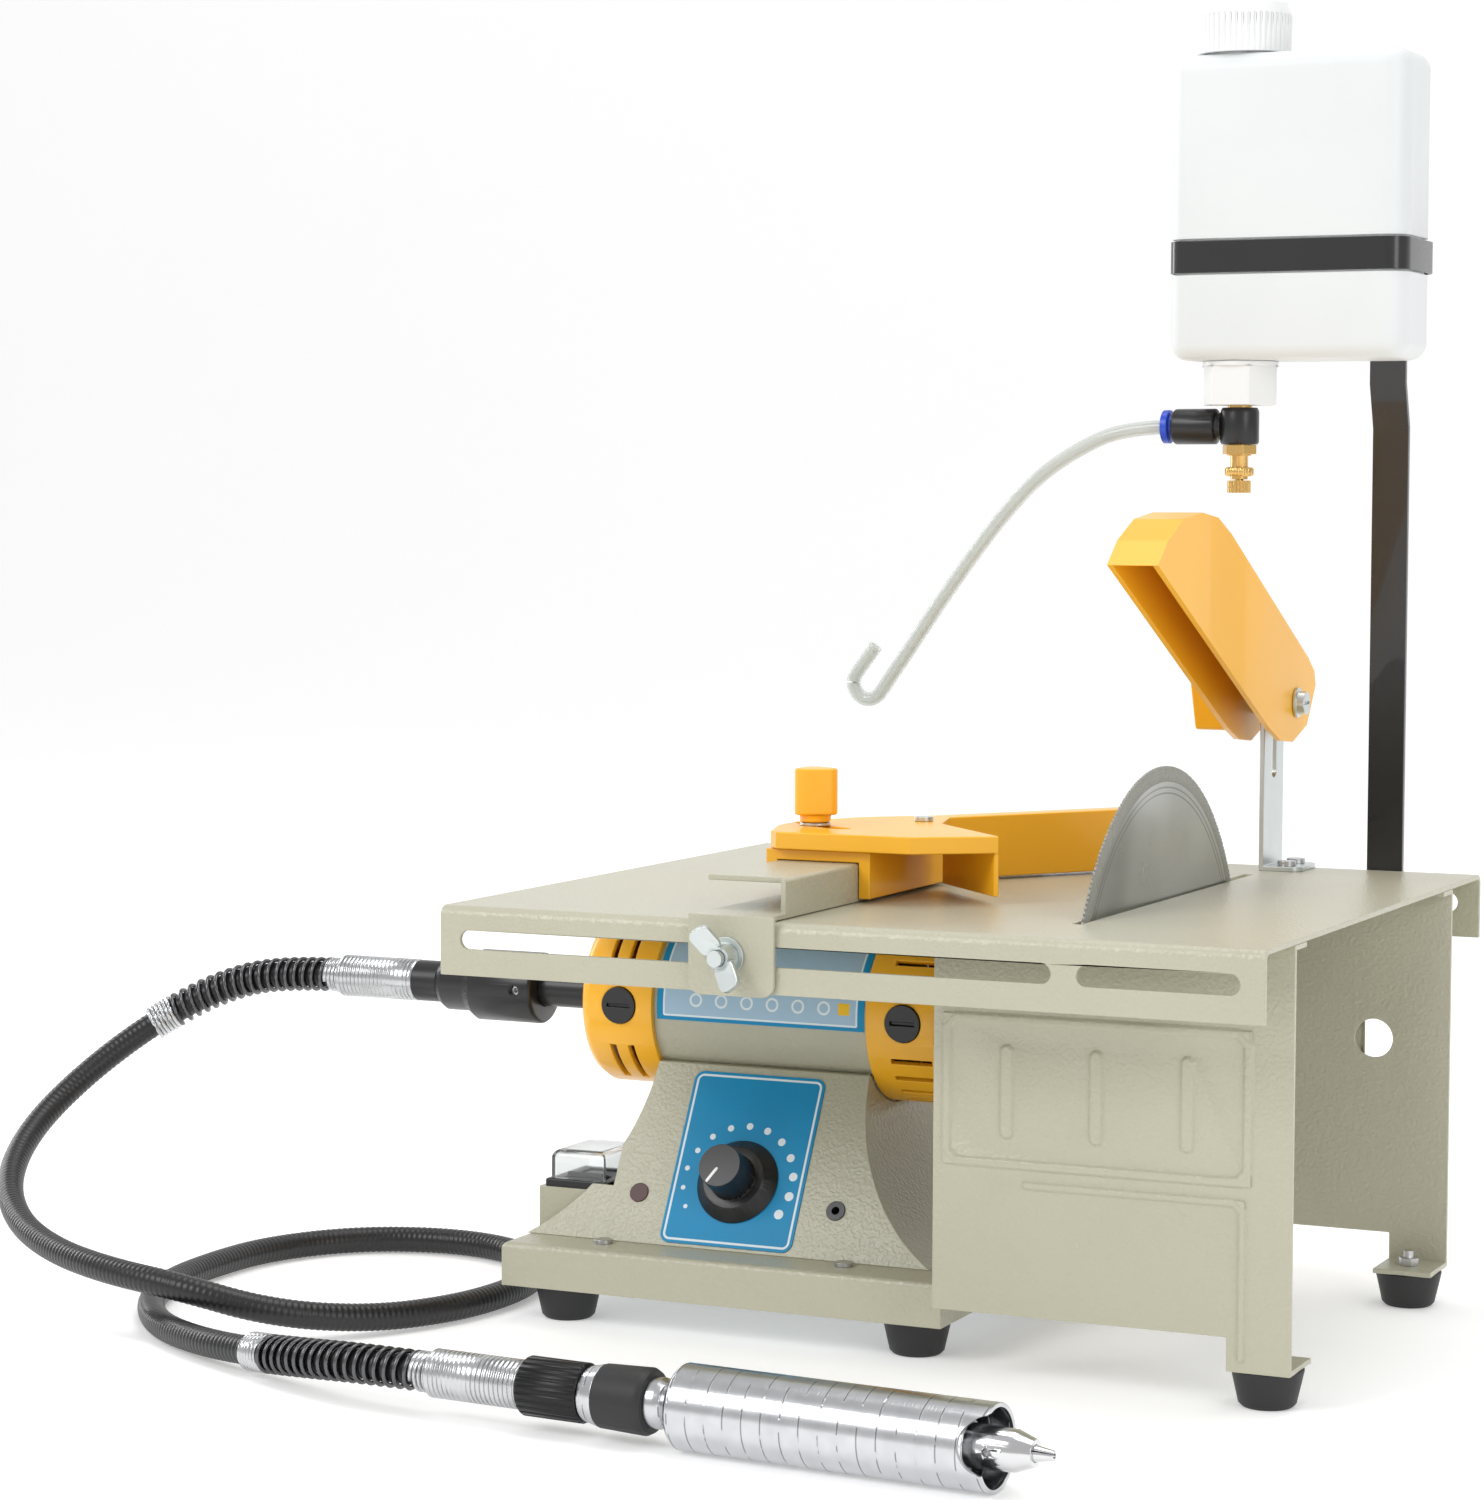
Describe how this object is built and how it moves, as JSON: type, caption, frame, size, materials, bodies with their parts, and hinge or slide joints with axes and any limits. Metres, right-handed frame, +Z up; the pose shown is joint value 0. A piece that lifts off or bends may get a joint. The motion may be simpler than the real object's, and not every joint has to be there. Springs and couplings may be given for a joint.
{
  "type": "bench cabbing machine",
  "caption": "Bench lapidary machine: table saw blade, mitre fence, flexible-shaft handpiece and water bottle on one motor.",
  "frame": {"origin": "on the bench, below the middle of the table top", "axes": "+X right along the motor's axis to the blade, +Y to the back, +Z up"},
  "size_m": [0.5646, 0.4317, 0.5223],
  "materials": {
    "frame_paint": "hammered gloss",
    "yellow": "gloss",
    "black_rubber": "matte",
    "zinc": "zinc plated",
    "steel": "satin",
    "aluminium": "turned",
    "black_plastic": "semi gloss",
    "black_metal": "black",
    "label_blue": "printed film",
    "white_plastic": "translucent",
    "clear_plastic": "clear",
    "brass": "turned",
    "blue_plastic": "gloss",
    "red_lens": "gloss",
    "copper": "wound",
    "blade_steel": "ground",
    "chrome": "polished",
    "circuit": "board"
  },
  "bodies": {
    "frame": {"table_top": "frame_paint", "front_leg_panel": "frame_paint", "rear_leg_panel": "frame_paint", "rubber_feet": "black_rubber", "fixing_screws": "steel", "base_tray": "frame_paint", "base_plate": "zinc", "pedestal_shell": "frame_paint", "control_label": "label_blue", "speed_control": "circuit", "power_led": "red_lens", "light_jack": "black_plastic", "switch_box": "frame_paint", "switch_frame": "black_plastic", "switch_cover": "clear_plastic", "motor_tube": "frame_paint", "motor_label": "label_blue", "left_end_cap": "yellow", "right_end_cap": "yellow", "motor_brushes": "black_plastic", "stator": "steel", "ball_bearings": "steel", "motor_nose": "black_metal", "shaft_coupling": "black_plastic", "motor_ferrule": "aluminium", "flex_shaft": "black_rubber", "shaft_springs": "black_metal", "hand_ferrule": "aluminium", "rubber_sleeve": "black_rubber", "handpiece_body": "aluminium", "guard_bracket": "zinc", "bottle_bar": "black_metal", "bottle": "white_plastic", "bottle_strap": "black_metal", "outlet_nut": "white_plastic", "valve_body": "brass"},
    "rotor": {"spindle": "steel", "armature": "copper", "saw_blade": "blade_steel", "blade_clamp": "steel"},
    "chuck_rotor": {"chuck": "chrome"},
    "knob": {"speed_knob": "black_plastic"},
    "rocker": {"switch_rocker": "black_plastic"},
    "fence": {"fence_rail": "frame_paint", "clamp_bolt": "zinc"},
    "wing_nut": {"wing_nut": "zinc"},
    "saddle": {"mitre_saddle": "yellow", "lock_stud": "zinc"},
    "arm": {"mitre_arm": "yellow"},
    "lock_knob": {"lock_knob": "yellow"},
    "guard_slider": {"guard_bolt": "zinc"},
    "hood": {"guard_hood": "yellow"},
    "guard_knob": {"guard_knob": "yellow"},
    "elbow": {"valve_elbow": "black_plastic", "water_hose": "clear_plastic"},
    "release_ring": {"release_ring": "blue_plastic"},
    "needle": {"valve_needle": "brass"},
    "needle_nut": {"needle_nut": "brass"},
    "cap": {"bottle_cap": "white_plastic"},
    "knurled_nut": {"knurled_nut": "black_metal"}
  },
  "joints": [
    {"name": "rotor_spin", "type": "hinge", "parent": "frame", "child": "rotor", "pos_m": [0, -0.008, 0.119], "axis": [1, 0, 0], "continuous": true},
    {"name": "chuck_spin", "type": "hinge", "parent": "frame", "child": "chuck_rotor", "pos_m": [-0.1105, -0.2401, 0.0149], "axis": [0.9978, -0.0663, 0], "continuous": true},
    {"name": "speed_turn", "type": "hinge", "parent": "frame", "child": "knob", "pos_m": [-0.078, -0.05951, 0.05534], "axis": [0, 0.8763, -0.4818], "range_deg": [0, 280]},
    {"name": "power_rock", "type": "hinge", "parent": "frame", "child": "rocker", "pos_m": [-0.1475, -0.0445, 0.0476], "axis": [1, 0, 0], "range_deg": [0, 16]},
    {"name": "fence_slide", "type": "slide", "parent": "frame", "child": "fence", "axis": [1, 0, 0], "range_m": [-0.085, 0.005]},
    {"name": "wing_nut_turn", "type": "hinge", "parent": "fence", "child": "wing_nut", "pos_m": [-0.0405, -0.155, 0.1555], "axis": [0, -1, 0], "range_deg": [-360, 360]},
    {"name": "saddle_slide", "type": "slide", "parent": "fence", "child": "saddle", "axis": [0, 1, 0], "range_m": [-0.06, 0.05]},
    {"name": "arm_swing", "type": "hinge", "parent": "saddle", "child": "arm", "pos_m": [-0.024, -0.004, 0.19], "axis": [0, 0, 1], "range_deg": [-12, 3]},
    {"name": "lock_turn", "type": "hinge", "parent": "saddle", "child": "lock_knob", "pos_m": [-0.05453, -0.04039, 0.2], "axis": [0, 0, 1], "range_deg": [-180, 180]},
    {"name": "guard_height", "type": "slide", "parent": "frame", "child": "guard_slider", "axis": [0, 0, 1], "range_m": [-0.005, 0.006]},
    {"name": "hood_hinge", "type": "hinge", "parent": "guard_slider", "child": "hood", "pos_m": [0.075, 0.135, 0.237], "axis": [1, 0, 0], "range_deg": [-30, 24]},
    {"name": "guard_knob_turn", "type": "hinge", "parent": "guard_slider", "child": "guard_knob", "pos_m": [0.05, 0.135, 0.237], "axis": [1, 0, 0], "range_deg": [-180, 180]},
    {"name": "elbow_swivel", "type": "hinge", "parent": "frame", "child": "elbow", "pos_m": [0.065, 0.117, 0.3505], "axis": [0, 0, 1], "range_deg": [-40, 40]},
    {"name": "ring_press", "type": "slide", "parent": "elbow", "child": "release_ring", "axis": [1, 0, 0], "range_m": [0, 0.001], "stiffness_N_per_m": 300},
    {"name": "needle_turn", "type": "hinge", "parent": "frame", "child": "needle", "pos_m": [0.065, 0.117, 0.33], "axis": [0, 0, 1], "range_deg": [0, 720]},
    {"name": "needle_nut_turn", "type": "hinge", "parent": "frame", "child": "needle_nut", "pos_m": [0.065, 0.117, 0.332], "axis": [0, 0, 1], "range_deg": [0, 720]},
    {"name": "cap_turn", "type": "hinge", "parent": "frame", "child": "cap", "pos_m": [0.065, 0.117, 0.51], "axis": [0, 0, 1], "range_deg": [0, 540]},
    {"name": "knurled_nut_turn", "type": "hinge", "parent": "frame", "child": "knurled_nut", "pos_m": [-0.1105, -0.2401, 0.0149], "axis": [0.9978, -0.0663, 0], "range_deg": [-360, 360]}
  ],
  "couplings": [
    {"joint": "chuck_spin", "follows": "rotor_spin", "ratio": -1}
  ]
}
